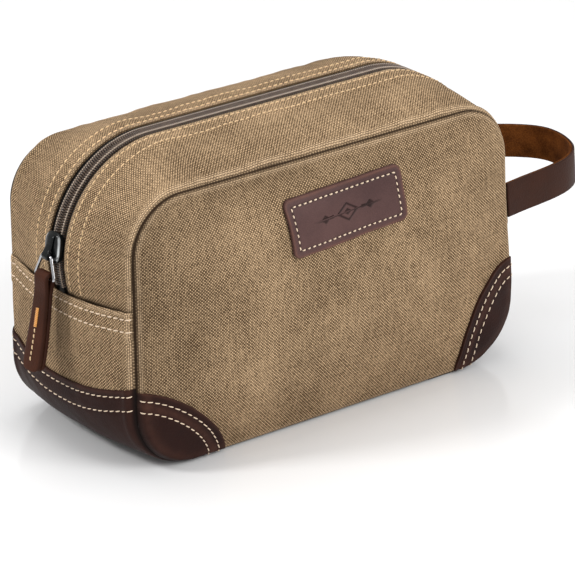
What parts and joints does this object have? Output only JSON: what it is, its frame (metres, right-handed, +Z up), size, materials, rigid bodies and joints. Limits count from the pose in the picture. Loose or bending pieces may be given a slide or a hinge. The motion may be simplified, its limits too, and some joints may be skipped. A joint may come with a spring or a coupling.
{
  "type": "shaving kit bag",
  "caption": "Boxy canvas dopp kit bag with leather corners, ends, label, zip pull and side wrist strap; the zip runs over the top and down both ends.",
  "frame": {"origin": "centre of the flat bottom, on the surface the bag stands on", "axes": "+X along the bag towards the wrist strap, -X towards the closed end of the zip, -Y out of the front panel with the label, +Z up"},
  "size_m": [0.3423, 0.1341, 0.1586],
  "materials": {
    "canvas": "waxed plain weave, matt",
    "leather": "smooth, satin",
    "label_leather": "smooth, satin, burnished edge",
    "lining": "fine weave, matt",
    "zip_tape": "woven tape, matt",
    "zip_coil": "dark bronze, glossy",
    "gunmetal": "polished gunmetal",
    "ring_wire": "dark nickel, glossy",
    "thread": "waxed thread"
  },
  "bodies": {
    "shell": {"front_panel_lower": "canvas", "back_panel_lower": "canvas", "front_lining_lower": "lining", "back_lining_lower": "lining", "lower_gusset_lining": "lining", "left_end_canvas": "canvas", "right_end_canvas": "canvas", "left_end_leather": "leather", "right_end_leather": "leather", "bottom_canvas": "canvas", "front_left_corner_patch": "leather", "front_right_corner_patch": "leather", "back_left_corner_patch": "leather", "back_right_corner_patch": "leather", "wrist_strap": "leather"},
    "front_half": {"front_panel_upper": "canvas", "front_lining_upper": "lining", "front_zip_strip": "canvas", "front_zip_tape": "zip_tape", "front_zip_coil": "zip_coil", "front_zip_strip_lining": "lining", "label": "label_leather"},
    "back_half": {"back_panel_upper": "canvas", "back_lining_upper": "lining", "back_zip_strip": "canvas", "back_zip_tape": "zip_tape", "back_zip_coil": "zip_coil", "back_zip_strip_lining": "lining"},
    "zip_slider": {"slider": "gunmetal"},
    "ring": {"pull_ring": "ring_wire"},
    "tab": {"pull_tab": "leather", "pull_tab_tack": "thread"}
  },
  "joints": [
    {"name": "front_mouth", "type": "hinge", "parent": "shell", "child": "front_half", "pos_m": [0, -0.0666, 0.087], "axis": [1, 0, 0], "range_deg": [0, 18]},
    {"name": "back_mouth", "type": "hinge", "parent": "shell", "child": "back_half", "pos_m": [0, 0.0666, 0.087], "axis": [-1, 0, 0], "range_deg": [0, 18]},
    {"name": "slider_travel", "type": "hinge", "parent": "front_half", "child": "zip_slider", "pos_m": [-0.0725, 0, 0.102], "axis": [0, 1, 0], "range_deg": [0, 82]},
    {"name": "ring_swing", "type": "hinge", "parent": "zip_slider", "child": "ring", "pos_m": [-0.13395, 0, 0.1063], "axis": [0, 1, 0], "range_deg": [0, 110]},
    {"name": "tab_swing", "type": "hinge", "parent": "ring", "child": "tab", "pos_m": [-0.13567, 0, 0.09543], "axis": [0, 1, 0], "range_deg": [0, 75]}
  ],
  "couplings": [
    {"joint": "back_mouth", "follows": "front_mouth", "ratio": 1}
  ]
}
